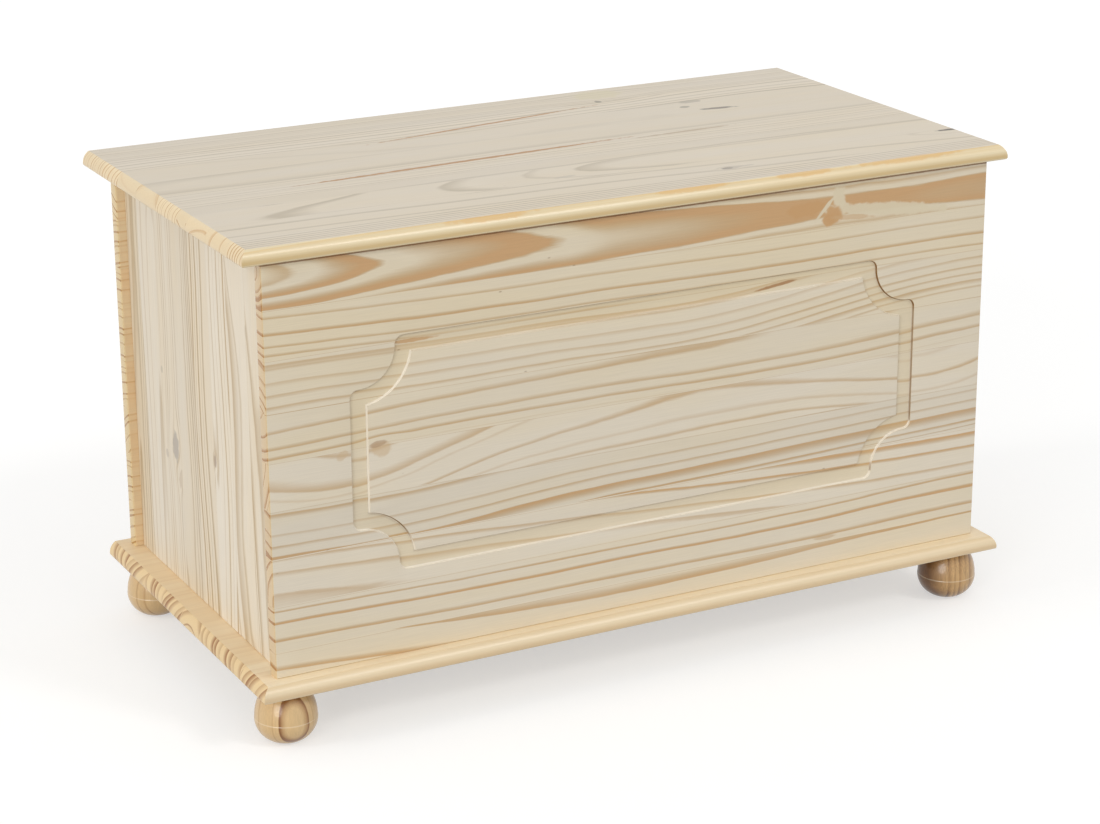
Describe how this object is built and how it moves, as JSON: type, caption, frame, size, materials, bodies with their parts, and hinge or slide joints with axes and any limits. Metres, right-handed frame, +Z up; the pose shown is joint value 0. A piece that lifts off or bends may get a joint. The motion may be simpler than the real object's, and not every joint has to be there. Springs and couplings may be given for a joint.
{
  "type": "toy chest",
  "caption": "Pine toy chest with a hinged lid on friction stays, a routed front panel, nosed lid and base boards and turned ball feet.",
  "frame": {"origin": "on the floor, in the middle of the chest's outline seen from above", "axes": "+X to the right seen from the front, +Y towards the hinged back, +Z up"},
  "size_m": [0.83, 0.442, 0.49],
  "materials": {
    "pine_board": "satin clear lacquer",
    "turned_pine": "gloss clear lacquer",
    "beech_dowel": "bare, fluted",
    "zinc_plated_steel": "bright zinc plate",
    "cast_zinc": "die-cast zinc",
    "white_nylon": "moulded",
    "soft_buffer": "soft moulded pad"
  },
  "bodies": {
    "carcass": {"front_panel": "pine_board", "back_panel": "pine_board", "left_side_panel": "pine_board", "right_side_panel": "pine_board", "base_board": "pine_board", "foot_front_left": "turned_pine", "foot_front_right": "turned_pine", "foot_back_left": "turned_pine", "foot_back_right": "turned_pine", "foot_screws": "zinc_plated_steel", "base_screws": "zinc_plated_steel", "corner_dowels": "beech_dowel", "cam_bolts": "zinc_plated_steel", "cam_locks": "cast_zinc", "left_hinge_back_leaf": "zinc_plated_steel", "right_hinge_back_leaf": "zinc_plated_steel", "left_hinge_pin": "zinc_plated_steel", "right_hinge_pin": "zinc_plated_steel", "hinge_back_screws": "zinc_plated_steel", "left_stay_stud": "zinc_plated_steel", "right_stay_stud": "zinc_plated_steel", "stay_washers": "white_nylon", "lid_buffers": "soft_buffer"},
    "lid": {"lid_board": "pine_board", "left_batten": "pine_board", "right_batten": "pine_board", "batten_screws": "zinc_plated_steel", "left_hinge_lid_leaf": "zinc_plated_steel", "right_hinge_lid_leaf": "zinc_plated_steel", "hinge_lid_screws": "zinc_plated_steel", "left_stay_bracket": "zinc_plated_steel", "right_stay_bracket": "zinc_plated_steel", "stay_bracket_screws": "zinc_plated_steel", "left_stay_rivet": "zinc_plated_steel", "right_stay_rivet": "zinc_plated_steel"},
    "left_stay": {"left_stay_arm": "zinc_plated_steel"},
    "right_stay": {"right_stay_arm": "zinc_plated_steel"}
  },
  "joints": [
    {"name": "lid_hinge", "type": "hinge", "parent": "carcass", "child": "lid", "pos_m": [0, 0.2013, 0.4717], "axis": [-1, 0, 0], "range_deg": [0, 90]},
    {"name": "left_stay_pivot", "type": "hinge", "parent": "lid", "child": "left_stay", "pos_m": [-0.3667, 0.0517, 0.4607], "axis": [-1, 0, 0], "range_deg": [-45, 0]},
    {"name": "right_stay_pivot", "type": "hinge", "parent": "lid", "child": "right_stay", "pos_m": [0.3667, 0.0517, 0.4607], "axis": [-1, 0, 0], "range_deg": [-45, 0]}
  ],
  "couplings": [
    {"joint": "left_stay_pivot", "follows": "lid_hinge", "ratio": -0.5},
    {"joint": "right_stay_pivot", "follows": "lid_hinge", "ratio": -0.5}
  ]
}
